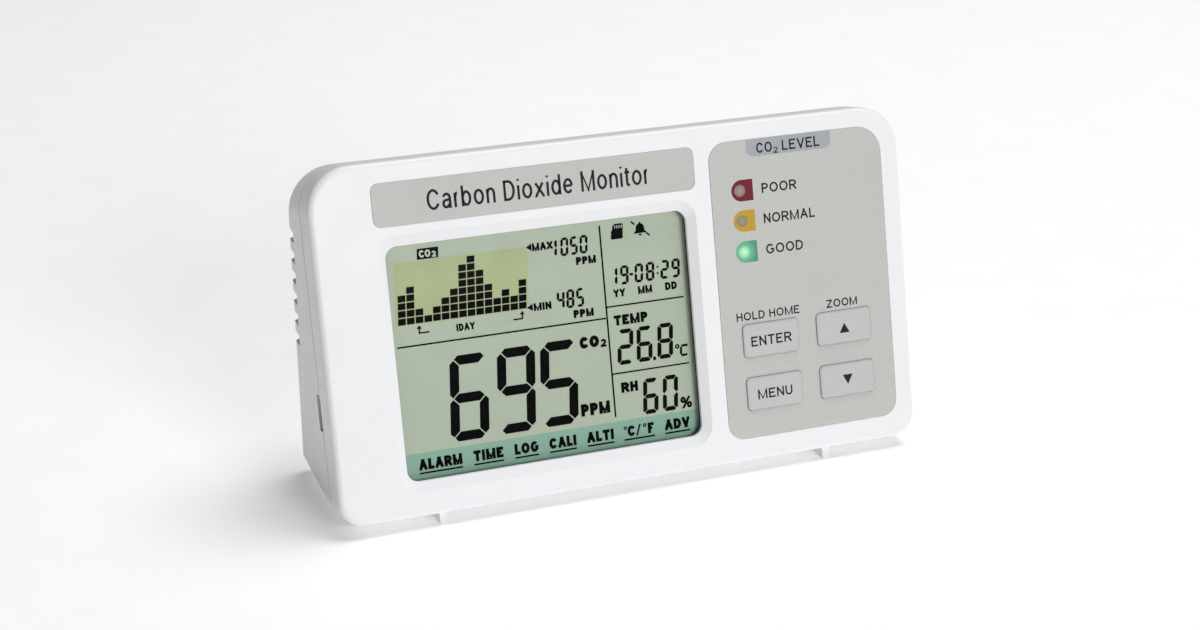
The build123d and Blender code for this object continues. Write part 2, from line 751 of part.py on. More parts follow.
def microcontroller():
    """The main chip: a flat square body with leads along all four sides."""
    left = CHIP_X - CHIP_HALF
    right = CHIP_X + CHIP_HALF
    bottom = CHIP_Z - CHIP_HALF
    top = CHIP_Z + CHIP_HALF
    chip = block(left, right, bottom, top, BOARD_BACK + 0.2, BOARD_BACK + CHIP_HEIGHT)
    reach = CHIP_HALF + CHIP_LEAD_REACH
    for index in range(CHIP_LEADS):
        step = (index - (CHIP_LEADS - 1) / 2) * CHIP_LEAD_PITCH
        low = step - CHIP_LEAD_HALF
        high = step + CHIP_LEAD_HALF
        back = BOARD_BACK + 0.4
        chip += block(CHIP_X - reach, CHIP_X + reach, CHIP_Z + low, CHIP_Z + high, BOARD_BACK, back)
        chip += block(CHIP_X + low, CHIP_X + high, CHIP_Z - reach, CHIP_Z + reach, BOARD_BACK, back)
    return chip


def crystal():
    footprint = Pos(CRYSTAL_X, CRYSTAL_Z) * SlotOverall(CRYSTAL_LENGTH, CRYSTAL_WIDTH)
    can = slab(footprint, BOARD_BACK, BOARD_BACK + CRYSTAL_HEIGHT)
    return fillet(can.faces().sort_by(Axis.Y)[-1].edges(), 0.6)


def capacitor(x, z):
    can = peg(x, z, CAPACITOR_RADIUS, BOARD_BACK, BOARD_BACK + CAPACITOR_HEIGHT)
    return fillet(can.faces().sort_by(Axis.Y)[-1].edges(), 0.8)


def coin_cell():
    front = BOARD_BACK + CELL_LIFT
    cell = peg(CELL_X, CELL_Z, CELL_RADIUS, front, front + CELL_THICK)
    return fillet(cell.faces().sort_by(Axis.Y)[-1].edges(), 0.5)


def cell_holder():
    """A round tray for the cell with a spring clip on each side."""
    front = BOARD_BACK + CELL_LIFT
    back = front + CELL_THICK
    bore = CELL_RADIUS + 0.1
    tray = peg(CELL_X, CELL_Z, HOLDER_RADIUS, BOARD_BACK, back - 0.8)
    tray -= peg(CELL_X, CELL_Z, bore, front, back)
    for side in (-1, 1):
        left = CELL_X + side * CLIP_X - CLIP_HALF_WIDTH
        right = CELL_X + side * CLIP_X + CLIP_HALF_WIDTH
        bottom = CELL_Z - CLIP_HALF_HEIGHT
        top = CELL_Z + CLIP_HALF_HEIGHT
        clip = block(left, right, bottom, top, back - 1, back + 0.8)
        tray += clip - peg(CELL_X, CELL_Z, bore, front, back)
    return tray


def rating_label():
    half = LABEL_HALF_WIDTH - 0.1
    return row_box(-half, half, back_y - LABEL_THICK, back_y, LABEL_BOTTOM + 0.1, LABEL_TOP - 0.1)


# ---- write every node ----
save("front_housing", front_housing())
save("rear_housing", rear_housing(), leaned=False)
save("foot_left", foot(-1), leaned=False)
save("foot_right", foot(1), leaned=False)
save("display_window", display_window())
save("lcd_glass", lcd_glass())
save("lcd_frame", lcd_frame())
save("lcd_backlight", lcd_backlight())
save("lcd_contact_strip", contact_strip())
save("title_label", title_label())
save("control_overlay", control_overlay())
for name in KEYS:
    save(f"key_{name}", key(name))
    save(f"switch_{name}", switch_body(name))
    save(f"plunger_{name}", switch_plunger(name))
for name in LED_HEIGHTS:
    save(f"led_{name}", led(name))
save("main_board", main_board())
save("board_screws", Compound([board_screw(x, z) for x, z in BOARD_SCREWS]))
save("case_screws", Compound([case_screw(x, z) for x, z in CASE_SCREWS]))
save("usb_socket", usb_socket())
save("card_socket", card_socket())
save("memory_card", memory_card())
save("co2_sensor_board", sensor_board())
save("co2_sensor_chamber", sensor_chamber())
save("co2_sensor_membrane", sensor_membrane())
save("co2_sensor_lamp", sensor_lamp())
save("co2_sensor_detector", sensor_detector())
save("co2_sensor_header", sensor_header())
save("humidity_sensor", humidity_sensor())
save("buzzer", buzzer())
save("microcontroller", microcontroller())
save("crystal", crystal())
save("capacitors", Compound([capacitor(x, z) for x, z in CAPACITORS]))
save("coin_cell", coin_cell())
save("cell_holder", cell_holder())
save("rating_label", rating_label(), leaned=False)
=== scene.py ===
import json
import math

import bmesh
import bpy
from mathutils import Matrix, Vector


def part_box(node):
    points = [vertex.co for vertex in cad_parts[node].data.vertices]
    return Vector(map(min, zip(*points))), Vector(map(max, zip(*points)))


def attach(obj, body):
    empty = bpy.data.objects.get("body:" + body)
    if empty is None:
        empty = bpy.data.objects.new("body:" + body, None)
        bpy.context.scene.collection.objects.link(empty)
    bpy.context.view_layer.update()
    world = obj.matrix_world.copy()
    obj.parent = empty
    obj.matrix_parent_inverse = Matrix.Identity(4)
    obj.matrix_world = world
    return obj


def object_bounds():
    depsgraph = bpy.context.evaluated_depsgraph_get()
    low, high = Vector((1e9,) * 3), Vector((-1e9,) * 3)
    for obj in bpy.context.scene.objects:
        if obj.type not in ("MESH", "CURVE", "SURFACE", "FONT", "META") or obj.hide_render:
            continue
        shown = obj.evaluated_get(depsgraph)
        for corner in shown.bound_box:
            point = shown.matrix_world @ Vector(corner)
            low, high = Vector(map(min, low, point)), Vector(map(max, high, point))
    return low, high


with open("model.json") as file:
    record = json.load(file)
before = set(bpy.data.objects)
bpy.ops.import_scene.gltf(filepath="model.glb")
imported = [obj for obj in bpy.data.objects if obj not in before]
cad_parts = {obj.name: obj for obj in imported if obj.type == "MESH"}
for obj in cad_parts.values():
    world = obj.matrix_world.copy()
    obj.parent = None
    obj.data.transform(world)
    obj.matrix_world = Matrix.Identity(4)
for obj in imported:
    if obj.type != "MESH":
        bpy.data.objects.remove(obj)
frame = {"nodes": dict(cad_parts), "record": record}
cad_low, cad_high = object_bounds()

# A desktop carbon dioxide monitor. The CAD nodes are its real pieces; this
# script gives them their materials and adds what is printed or shown on them:
# the display's picture, the lettering and the level marks.
#
# Face coordinates are millimetres: X to the right, Y up the leaning face, and
# Z out of it, from the middle of the face's lower edge.

MM = 0.001
LEAN = math.radians(14.26)
EDGE_ROUND = 1.5
FRONT_DEPTH = 9.2
PRINT_THICK = 0.02
PRINT_SINK = 0.006

# the face prints and the display's picture are each drawn on their own sheet
PRINT_SHIFT = (-1.0, 1.1)
DISPLAY_SHIFT = (0.42, 0.075)
DISPLAY_SCALE = 1.00824
FILM_TOP = 0.05
KEY_TOP = 0.4
DISPLAY_TOP = -4.0
GROUND_LIFT = 0.004
GROUND_THICK = 0.004
SEGMENT_LIFT = 0.01
BADGE_LIFT = 0.032

# gaps between letters as a share of their height, on the face and on the display
LOOSE = 0.17
TIGHT = 0.1

# where the window's edges, the lamps and their holes lie on the face
WINDOW = (-59.7, 17.7, 8.6, 66.35)
LAMP_X = 33.3
LAMP_HEIGHTS = {"poor": 68.3, "normal": 60.6, "good": 52.75}
LAMP_HOLE = 1.5

# ---- where the face is ----
front_low, front_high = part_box("front_housing")
round_setback = EDGE_ROUND * (math.cos(LEAN) + math.sin(LEAN) - 1)
face_origin = Vector(
    (
        (front_low.x + front_high.x) / 2,
        front_low.y - round_setback * MM,
        front_low.z + FRONT_DEPTH * MM * math.sin(LEAN),
    )
)
face_up = Vector((0, math.sin(LEAN), math.cos(LEAN)))
face_out = Vector((0, -math.cos(LEAN), math.sin(LEAN)))


def face_matrix():
    """From face coordinates in millimetres to the row frame in metres."""
    columns = (Vector((1, 0, 0)) * MM, face_up * MM, face_out * MM, face_origin)
    matrix = Matrix.Identity(4)
    for index, column in enumerate(columns):
        matrix.col[index].xyz = column
    return matrix


FACE = face_matrix()


# ---- materials ----
def tone(red, green, blue):
    """A colour given as it looks on a screen, from 0 to 255, made linear."""
    linear = []
    for value in (red, green, blue):
        share = value / 255
        if share <= 0.04045:
            linear.append(share / 12.92)
        else:
            linear.append(((share + 0.055) / 1.055) ** 2.4)
    return (*linear, 1.0)


def shaded(colour, factor):
    return (*[min(1.0, value * factor) for value in colour[:3]], 1.0)


def start_material(name):
    material = bpy.data.materials.new(name)
    material.use_nodes = True
    nodes = material.node_tree.nodes
    shader = nodes["Principled BSDF"]
    return material, nodes, material.node_tree.links, shader


def object_noise(nodes, links, scale, detail=3.0, roughness=0.55, stretch=(1, 1, 1)):
    """A noise fixed to the object, with its grain given in grains a metre."""
    place = nodes.new("ShaderNodeTexCoord")
    mapping = nodes.new("ShaderNodeMapping")
    mapping.inputs["Scale"].default_value = stretch
    noise = nodes.new("ShaderNodeTexNoise")
    noise.inputs["Scale"].default_value = scale
    noise.inputs["Detail"].default_value = detail
    noise.inputs["Roughness"].default_value = roughness
    links.new(place.outputs["Object"], mapping.inputs["Vector"])
    links.new(mapping.outputs["Vector"], noise.inputs["Vector"])
    return noise.outputs["Fac"]


def ramp_between(nodes, links, source, low, high, start=0.3, end=0.7):
    ramp = nodes.new("ShaderNodeValToRGB")
    ramp.color_ramp.elements[0].position = start
    ramp.color_ramp.elements[0].color = low
    ramp.color_ramp.elements[1].position = end
    ramp.color_ramp.elements[1].color = high
    links.new(source, ramp.inputs["Fac"])
    return ramp.outputs["Color"]


def range_between(nodes, links, source, low, high):
    spread = nodes.new("ShaderNodeMapRange")
    spread.inputs["From Min"].default_value = 0.3
    spread.inputs["From Max"].default_value = 0.7
    spread.inputs["To Min"].default_value = low
    spread.inputs["To Max"].default_value = high
    links.new(source, spread.inputs["Value"])
    return spread.outputs["Result"]


def add_bump(nodes, links, shader, source, strength, distance):
    bump = nodes.new("ShaderNodeBump")
    bump.inputs["Strength"].default_value = strength
    bump.inputs["Distance"].default_value = distance
    links.new(source, bump.inputs["Height"])
    links.new(bump.outputs["Normal"], shader.inputs["Normal"])


def grained(name, colour, rough, grain, contrast=0.04, bump=0.1, height=2e-5, **sockets):
    """A surface with a fine grain in its colour, its gloss and its relief."""
    material, nodes, links, shader = start_material(name)
    fine = object_noise(nodes, links, grain)
    broad = object_noise(nodes, links, grain / 40, detail=2.0)
    low = shaded(colour, 1 - contrast)
    high = shaded(colour, 1 + contrast)
    links.new(ramp_between(nodes, links, fine, low, high), shader.inputs["Base Color"])
    links.new(range_between(nodes, links, broad, rough - 0.04, rough + 0.05), shader.inputs["Roughness"])
    add_bump(nodes, links, shader, fine, bump, height)
    for socket, value in sockets.items():
        shader.inputs[socket.replace("_", " ")].default_value = value
    return material


def brushed(name, colour, rough, stretch=(1, 1, 30)):
    """Metal with a drawn or plated grain that runs one way."""
    material, nodes, links, shader = start_material(name)
    lines = object_noise(nodes, links, 900, detail=4.0, stretch=stretch)
    low = shaded(colour, 0.85)
    high = shaded(colour, 1.1)
    links.new(ramp_between(nodes, links, lines, low, high), shader.inputs["Base Color"])
    links.new(range_between(nodes, links, lines, rough - 0.06, rough + 0.1), shader.inputs["Roughness"])
    add_bump(nodes, links, shader, lines, 0.15, 1e-5)
    shader.inputs["Metallic"].default_value = 1.0
    return material


def clear_pane(name, tint, gloss):
    """A thin clear pane: light passes straight through, with a faint shine."""
    material = bpy.data.materials.new(name)
    material.use_nodes = True
    nodes = material.node_tree.nodes
    links = material.node_tree.links
    nodes.clear()
    output = nodes.new("ShaderNodeOutputMaterial")
    clear = nodes.new("ShaderNodeBsdfTransparent")
    clear.inputs["Color"].default_value = tint
    shine = nodes.new("ShaderNodeBsdfGlossy")
    shine.inputs["Color"].default_value = (0.9, 0.95, 1.0, 1.0)
    dust = object_noise(nodes, links, 1500)
    links.new(range_between(nodes, links, dust, 0.04, 0.12), shine.inputs["Roughness"])
    edge = nodes.new("ShaderNodeFresnel")
    edge.inputs["IOR"].default_value = gloss
    mix = nodes.new("ShaderNodeMixShader")
    links.new(edge.outputs["Fac"], mix.inputs["Fac"])
    links.new(clear.outputs["BSDF"], mix.inputs[1])
    links.new(shine.outputs["BSDF"], mix.inputs[2])
    links.new(mix.outputs["Shader"], output.inputs["Surface"])
    return material


def painted_light_spot(name, level, radius, middle, edge, strength):
    """A print or lamp window lighter at its lamp and darker outwards: painted glow of a lit lamp on a
    print, painted shade at the rim of an unlit lamp's window, and emission where given.
    """
    material, nodes, links, shader = start_material(name)
    place = nodes.new("ShaderNodeTexCoord")
    mapping = nodes.new("ShaderNodeMapping")
    centre = FACE @ Vector((LAMP_X + PRINT_SHIFT[0], LAMP_HEIGHTS[level] + PRINT_SHIFT[1], FILM_TOP))
    share = 1 / (radius * MM)
    mapping.inputs["Scale"].default_value = (share, share, share)
    mapping.inputs["Location"].default_value = -centre * share
    ball = nodes.new("ShaderNodeTexGradient")
    ball.gradient_type = "SPHERICAL"
    links.new(place.outputs["Object"], mapping.inputs["Vector"])
    links.new(mapping.outputs["Vector"], ball.inputs["Vector"])
    # lighter at the lamp and darker outwards: painted glow on the green mark, painted shade at the rims of
    # the windows
    shade = ramp_between(nodes, links, ball.outputs["Fac"], edge, middle, 0.0, 0.8)
    links.new(shade, shader.inputs["Base Color"])
    links.new(shade, shader.inputs["Emission Color"])
    shader.inputs["Emission Strength"].default_value = strength
    shader.inputs["Roughness"].default_value = 0.5
    add_bump(nodes, links, shader, object_noise(nodes, links, 4200), 0.1, 1e-5)
    return material


def make_materials():
    """Every finish on the object, by a short name."""
    return {
        "case": grained("case_plastic", tone(238, 238, 241), 0.42, 5200, 0.012, 0.16, 2.5e-5),
        "film": grained("grey_film", tone(190, 191, 187), 0.5, 3000, 0.07, 0.15, 1.5e-5),
        "key": grained("key_film", tone(191, 192, 190), 0.5, 3000, 0.06, 0.15, 1.5e-5),
        "tab": grained("tab_ink", tone(160, 165, 170), 0.5, 4200, 0.03, 0.08, 1e-5),
        "ink": grained("dark_ink", tone(28, 28, 33), 0.6, 5200, 0.08, 0.08, 1e-5, Specular_IOR_Level=0.2),
        "outline": grained("outline_ink", tone(176, 180, 186), 0.45, 5200, 0.03, 0.08, 1e-5),
        "panel": grained("display_panel", tone(181, 189, 170), 0.38, 5600, 0.03, 0.05, 1e-5),
        "zone": grained("chart_zone", tone(176, 183, 131), 0.38, 5600, 0.035, 0.05, 1e-5),
        "band": grained("menu_band", tone(137, 176, 158), 0.38, 5600, 0.035, 0.05, 1e-5),
        "segment": grained(
            "display_segment", tone(6, 6, 7), 0.6, 5200, 0.1, 0.03, 1e-5, Specular_IOR_Level=0.05
        ),
        "badge": grained("badge_letter", tone(200, 205, 190), 0.38, 5200, 0.03, 0.03, 1e-5),
        "dark": grained("dark_plastic", tone(22, 22, 23), 0.55, 4200, 0.12, 0.2, 2e-5),
        "milky": grained("milky_plastic", tone(220, 224, 214), 0.5, 3000, 0.02, 0.05, 1e-5),
        "rubber": grained("contact_rubber", tone(120, 70, 66), 0.6, 2500, 0.1, 0.2, 2e-5),
        "board": grained("solder_mask", tone(22, 92, 48), 0.35, 1800, 0.1, 0.2, 3e-5),
        "label": grained("blank_label", tone(206, 208, 210), 0.32, 3800, 0.02, 0.06, 1e-5),
        "white": grained("white_plastic", tone(228, 228, 224), 0.45, 4200, 0.02, 0.1, 2e-5),
        "membrane": grained("filter_membrane", tone(236, 236, 230), 0.9, 2600, 0.05, 0.5, 6e-5),
        "sleeve": grained("capacitor_sleeve", tone(34, 40, 66), 0.3, 2200, 0.08, 0.05, 1e-5),
        "steel": brushed("plated_steel", tone(205, 205, 207), 0.3),
        "tin": brushed("tin_plate", tone(214, 214, 212), 0.22, (30, 1, 1)),
        "gold": brushed("gold_plate", tone(214, 178, 108), 0.28, (1, 30, 1)),
        "pane": clear_pane("display_window_pane", (0.97, 0.985, 0.975, 1.0), 1.04),
        "red": grained("red_ink", tone(118, 30, 42), 0.6, 5200, 0.07, 0.06, 1e-5, Specular_IOR_Level=0.2),
        "amber": grained(
            "amber_ink", tone(192, 156, 48), 0.6, 5200, 0.05, 0.06, 1e-5, Specular_IOR_Level=0.2
        ),
        # lamp windows, lighter in the middle and darker at the rim: painted shade at the rims of the unlit
        # red and amber lamps; the green lamp is lit and glows
        "red_lamp": painted_light_spot("red_lamp", "poor", LAMP_HOLE, tone(152, 138, 132), tone(128, 104, 100), 0.0),
        "amber_lamp": painted_light_spot("amber_lamp", "normal", LAMP_HOLE, tone(150, 140, 116), tone(136, 120, 82), 0.0),
        "green_lamp": painted_light_spot(
            "green_lamp", "good", LAMP_HOLE, tone(178, 228, 180), tone(112, 200, 150), 0.22
        ),
        # the green level mark: painted glow of the lit green lamp, lighter and faintly emitting near it
        "green": painted_light_spot("green_ink_painted_glow", "good", 2.2 * LAMP_HOLE, tone(120, 205, 158), tone(58, 138, 112), 0.05),
    }


M = make_materials()


# ---- mesh helpers ----
def add_piece(name, mesh, material, body):
    """Link a mesh as one piece that rides on a body."""
    piece = bpy.data.objects.new(name, mesh)
    bpy.context.scene.collection.objects.link(piece)
    mesh.materials.clear()
    mesh.materials.append(material)
    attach(piece, body)
    return piece


def prism_into(bm, points, bottom, top):
    """Add one closed flat-sided solid: an outline raised from bottom to top."""
    low = [bm.verts.new((x, y, bottom)) for x, y in points]
    high = [bm.verts.new((x, y, top)) for x, y in points]
    bm.faces.new(high)
    bm.faces.new(list(reversed(low)))
    count = len(points)
    for index in range(count):
        after = (index + 1) % count
        bm.faces.new((low[index], low[after], high[after], high[index]))


def holed_into(bm, outer, inner, bottom, top):
    """Add a closed solid between an outer and an inner outline of equal count."""
    count = len(outer)
    rings = []
    for points, height in ((outer, bottom), (inner, bottom), (inner, top), (outer, top)):
        rings.append([bm.verts.new((x, y, height)) for x, y in points])
    for index in range(4):
        ring = rings[index]
        following = rings[(index + 1) % 4]
        for corner in range(count):
            after = (corner + 1) % count
            bm.faces.new((ring[corner], following[corner], following[after], ring[after]))


def finish_mesh(name, bm, matrix):
    """Turn a bmesh in sheet coordinates into a mesh in the row frame."""
    bmesh.ops.recalc_face_normals(bm, faces=bm.faces)
    mesh = bpy.data.meshes.new(name)
    bm.to_mesh(mesh)
    bm.free()
    mesh.transform(matrix)
    return mesh


def soften(piece, width):
    """Round off the sharp edges of a piece."""
    bevel = piece.modifiers.new("soft_edge", "BEVEL")
    bevel.width = width * MM
    bevel.segments = 2
    bevel.limit_method = "ANGLE"


class Sheet:
    """A flat drawing on the object: where it lies and what it rides on."""

    def __init__(self, shift, scale, height, body, slot):
        self.body = body
        self.slot = slot
        placing = Matrix.Translation((shift[0], shift[1], height))
        self.matrix = FACE @ placing @ Matrix.Diagonal((scale, scale, 1, 1))

    def draw(self, name, material, shapes, lift=0.0, thick=PRINT_THICK):
        """One piece made of several outlines, each a list of points."""
        bm = bmesh.new()
        for points in shapes:
            prism_into(bm, points, lift - PRINT_SINK, lift + thick)
        mesh = finish_mesh(name, bm, self.matrix)
        piece = add_piece(name, mesh, M[material], self.body)
        if len(shapes) == 1:
            soften(piece, thick / 4)
        return piece

    def draw_holed(self, name, material, outer, inner, lift=0.0, thick=PRINT_THICK):
        bm = bmesh.new()
        holed_into(bm, outer, inner, lift - PRINT_SINK, lift + thick)
        mesh = finish_mesh(name, bm, self.matrix)
        piece = add_piece(name, mesh, M[material], self.body)
        soften(piece, thick / 4)
        return piece

    def write(self, name, material, words, lift=0.0, thick=PRINT_THICK, gap=LOOSE):
        """One piece of lettering. Each word is (text, left, right, bottom, top, pen)."""
        shapes = []
        for text, left, right, bottom, top, pen in words:
            shapes += word_shapes(text, left, right, bottom, top, pen, gap)
        return self.draw(name, material, shapes, lift, thick)


# ---- outlines ----
def box_points(left, right, bottom, top, slant=0.0):
    """A rectangle whose upper edge may be pushed to the right."""
    push = slant * (top - bottom)
    return [(left, bottom), (right, bottom), (right + push, top), (left + push, top)]


def arc_points(x, y, radius, start, end, steps=8):
    points = []
    for index in range(steps + 1):
        angle = math.radians(start + (end - start) * index / steps)
        points.append((x + radius * math.cos(angle), y + radius * math.sin(angle)))
    return points


def round_box(left, right, bottom, top, radii):
    """A rectangle with a radius for each corner: lower left, then anticlockwise."""
    corners = (
        (left, bottom, 1, 1, 180),
        (right, bottom, -1, 1, 270),
        (right, top, -1, -1, 0),
        (left, top, 1, -1, 90),
    )
    points = []
    for (x, y, step_x, step_y, start), radius in zip(corners, radii):
        points += arc_points(x + step_x * radius, y + step_y * radius, radius, start, start + 90)
    return points


def line_points(start, end, width):
    """A straight stroke of one width between two points."""
    along = Vector(end) - Vector(start)
    across = Vector((-along.y, along.x)).normalized() * width / 2
    corners = (
        Vector(start) - across,
        Vector(end) - across,
        Vector(end) + across,
        Vector(start) + across,
    )
    return [(corner.x, corner.y) for corner in corners]


# ---- lettering ----
# how much thinner the inner strokes of an M are than its stems
SLIM_DIAGONAL = 0.6


def oval(x, y, wide, tall, start, end):
    """Part of an oval as points in a letter's own box, which runs from 0 to 1."""
    steps = max(4, int(abs(end - start) / 15))
    points = []
    for index in range(steps + 1):
        angle = math.radians(start + (end - start) * index / steps)
        points.append((x + wide * math.cos(angle), y + tall * math.sin(angle)))
    return points


STEM = [(0, 0), (0, 1)]
RIGHT_STEM = [(1, 0), (1, 1)]
BOWL = [(0, 1), (0.5, 1)] + oval(0.5, 0.735, 0.5, 0.265, 75, -75) + [(0.5, 0.47), (0, 0.47)]
SMALL_BOWL = oval(0.5, 0.36, 0.5, 0.36, 0, 360)

# each letter: its width as a share of its height, then its pen strokes
LETTERS = {
    " ": (0.26, []),
    "A": (0.88, [[(0, 0), (0.5, 1)], [(1, 0), (0.5, 1)], [(0.2, 0.33), (0.8, 0.33)]]),
    "C": (0.9, [oval(0.52, 0.5, 0.52, 0.5, 30, 330)]),
    "D": (0.82, [STEM, [(0, 1), (0.4, 1)] + oval(0.4, 0.5, 0.6, 0.5, 80, -80) + [(0.4, 0), (0, 0)]]),
    "E": (0.74, [[(1, 1), (0, 1), (0, 0), (1, 0)], [(0, 0.53), (0.92, 0.53)]]),
    "F": (0.7, [[(1, 1), (0, 1), (0, 0)], [(0, 0.5), (0.88, 0.5)]]),
    "G": (0.92, [oval(0.5, 0.5, 0.5, 0.5, 42, 322), [(0.58, 0.46), (0.97, 0.46), (0.97, 0.1)]]),
    "H": (0.78, [STEM, RIGHT_STEM, [(0, 0.53), (1, 0.53)]]),
    "I": (0.0, [[(0.5, 0), (0.5, 1)]]),
    "L": (0.66, [[(0, 1), (0, 0), (1, 0)]]),
    "M": (1.02, [STEM, RIGHT_STEM, [(0, 1), (0.5, 0)], [(1, 1), (0.5, 0)]]),
    "N": (0.78, [STEM, RIGHT_STEM, [(0, 1), (1, 0)]]),
    "O": (0.96, [oval(0.5, 0.5, 0.5, 0.5, 0, 360)]),
    "P": (0.74, [STEM, BOWL]),
    "R": (0.82, [STEM, BOWL, [(0.5, 0.47), (1, 0)]]),
    "T": (0.78, [[(0, 1), (1, 1)], [(0.5, 0), (0.5, 1)]]),
    "U": (0.78, [[(0, 1)] + oval(0.5, 0.35, 0.5, 0.35, 180, 360) + [(1, 1)]]),
    "V": (0.86, [[(0, 1), (0.5, 0)], [(1, 1), (0.5, 0)]]),
    "X": (0.84, [[(0, 0), (1, 1)], [(0, 1), (1, 0)]]),
    "Y": (0.84, [[(0, 1), (0.5, 0.45)], [(1, 1), (0.5, 0.45)], [(0.5, 0), (0.5, 0.47)]]),
    "Z": (0.8, [[(0, 1), (1, 1)], [(1, 1), (0, 0)], [(0, 0), (1, 0)]]),
    "1": (0.34, [[(1, 0), (1, 1)], [(1, 0.95), (0, 0.72)]]),
    "2": (0.7, [oval(0.5, 0.71, 0.48, 0.29, 165, -40) + [(0, 0)], [(0, 0), (1, 0)]]),
    "/": (0.42, [[(0, 0), (1, 1)]]),
    "%": (
        1.05,
        [oval(0.17, 0.78, 0.17, 0.22, 0, 360), oval(0.83, 0.22, 0.17, 0.22, 0, 360), [(0.2, 0), (0.8, 1)]],
    ),
    "a": (
        0.68,
        [
            oval(0.48, 0.49, 0.46, 0.23, 158, 0) + [(0.94, 0)],
            [(0.94, 0.42), (0.4, 0.38)]
            + oval(0.36, 0.19, 0.36, 0.19, 105, 270)
            + [(0.6, 0.02), (0.94, 0.2)],
        ],
    ),
    "b": (0.7, [STEM, SMALL_BOWL]),
    "d": (0.7, [RIGHT_STEM, SMALL_BOWL]),
    "e": (0.72, [[(0.02, 0.37), (0.98, 0.37)], oval(0.5, 0.36, 0.5, 0.36, 2, 322)]),
    "i": (0.0, [[(0.5, 0), (0.5, 0.72)], [(0.5, 0.97), (0.5, 1)]]),
    "n": (0.64, [[(0, 0), (0, 0.72)], oval(0.5, 0.44, 0.5, 0.28, 180, 0) + [(1, 0)]]),
    "o": (0.74, [SMALL_BOWL]),
    "r": (0.36, [[(0, 0), (0, 0.72)], oval(0.85, 0.38, 0.85, 0.34, 180, 85)]),
    "t": (0.36, [[(0.4, 0.96)] + oval(0.8, 0.14, 0.4, 0.14, 180, 270) + [(1, 0)], [(0, 0.72), (1, 0.72)]]),
    "x": (0.7, [[(0, 0), (1, 0.72)], [(0, 0.72), (1, 0)]]),
}


def end_reach(point, step, half):
    """How far a stroke runs past its last point to end flush with its box."""
    if abs(step.x) > 4 * abs(step.y):
        return half if point[0] in (0, 1) else 0.0
    return 2 * half if point[1] in (0, 1) else 0.0


def stroke_quads(stroke, place, half):
    """Split one pen stroke into four-sided pieces with mitred joints."""
    points = [Vector(place(point)) for point in stroke]
    closed = (points[0] - points[-1]).length < 1e-6
    steps = [(after - before).normalized() for before, after in zip(points, points[1:])]
    if not closed:
        points[0] -= steps[0] * end_reach(stroke[0], steps[0], half)
        points[-1] += steps[-1] * end_reach(stroke[-1], steps[-1], half)
    sides = []
    for index in range(len(points)):
        before = steps[index - 1] if index > 0 or closed else steps[0]
        after = steps[index] if index < len(steps) else (steps[0] if closed else steps[-1])
        middle = (before + after).normalized()
        across = Vector((-middle.y, middle.x)) * half / max(middle.dot(after), 0.4)
        sides.append((points[index] + across, points[index] - across))
    return [(near[1], far[1], far[0], near[0]) for near, far in zip(sides, sides[1:])]


def clip(points, axis, limit, sign):
    """Keep the part of an outline on one side of a line across an axis."""
    kept = []
    for before, after in zip(points, points[1:] + points[:1]):
        depth_before = sign * (before[axis] - limit)
        depth_after = sign * (after[axis] - limit)
        if depth_before >= 0:
            kept.append(before)
        if depth_before * depth_after < 0:
            share = depth_before / (depth_before - depth_after)
            kept.append(before + (after - before) * share)
    return kept


def word_shapes(text, left, right, bottom, top, pen, gap):
    """Outlines of a word drawn with one pen, spread to fill its box exactly."""
    height = top - bottom
    shares = sum(LETTERS[letter][0] for letter in text) + gap * (len(text) - 1)
    thin = sum(1 for letter in text if LETTERS[letter][0] == 0)
    scale = (right - left - thin * pen) / shares if shares else 1.0
    half = pen / 2
    shapes = []
    x = left
    for letter in text:
        share, strokes = LETTERS[letter]
        width = share * scale if share else pen

        def place(point, x=x, width=width):
            across = x + half + point[0] * (width - pen)
            return across, bottom + half + point[1] * (height - pen)

        for stroke in strokes:
            diagonal = letter == "M" and stroke[0][0] != stroke[1][0]
            weight = half * SLIM_DIAGONAL if diagonal else half
            for quad in stroke_quads(stroke, place, weight):
                points = clip(list(quad), 1, bottom, 1)
                points = clip(points, 1, top, -1)
                points = clip(points, 0, x, 1)
                points = clip(points, 0, x + width, -1)
                if len(points) > 2:
                    shapes.append([(point.x, point.y) for point in points])
        x += width + gap * scale
    return shapes


# ---- seven-segment figures ----
LIT = {
    "0": "abcdef",
    "1": "bc",
    "2": "abged",
    "4": "fgbc",
    "5": "afgcd",
    "6": "afgedc",
    "8": "abcdefg",
    "9": "abcdfg",
}
CORNER_CUT = 0.8
JOINT_SHARE = 0.35


def segment_outlines(width, height, thick, gap):
    """The seven bars of one figure, mitred, with its outer corners cut off."""
    middle = height / 2
    cut = CORNER_CUT * thick
    joint = JOINT_SHARE * thick
    left_upper = [
        (0, middle + joint + gap),
        (joint, middle + gap),
        (thick, middle + thick - joint + gap),
        (thick, height - thick - gap),
        (cut / 2, height - cut / 2 - gap),
        (0, height - cut - gap / 2),
    ]
    top = [
        (cut / 2 + gap, height - cut / 2),
        (thick + gap, height - thick),
        (width - thick - gap, height - thick),
        (width - cut / 2 - gap, height - cut / 2),
        (width - cut - gap / 2, height),
        (cut + gap / 2, height),
    ]
    tip = joint + gap
    shoulder = tip + thick / 2
    bars = {
        "f": left_upper,
        "e": [(x, height - y) for x, y in left_upper],
        "b": [(width - x, y) for x, y in left_upper],
        "c": [(width - x, height - y) for x, y in left_upper],
        "a": top,
        "d": [(x, height - y) for x, y in top],
        "g": [
            (tip, middle),
            (shoulder, middle - thick / 2),
            (width - shoulder, middle - thick / 2),
            (width - tip, middle),
            (width - shoulder, middle + thick / 2),
            (shoulder, middle + thick / 2),
        ],
    }
    return bars


def figure_shapes(text, lefts, width, bottom, top, thick, gap, slant):
    """Outlines for a row of figures; each has its own left edge."""
    bars = segment_outlines(width, top - bottom, thick, gap)
    shapes = []
    for character, left in zip(text, lefts):
        for bar in LIT[character]:
            shapes.append([(left + x + slant * y, bottom + y) for x, y in bars[bar]])
    return shapes


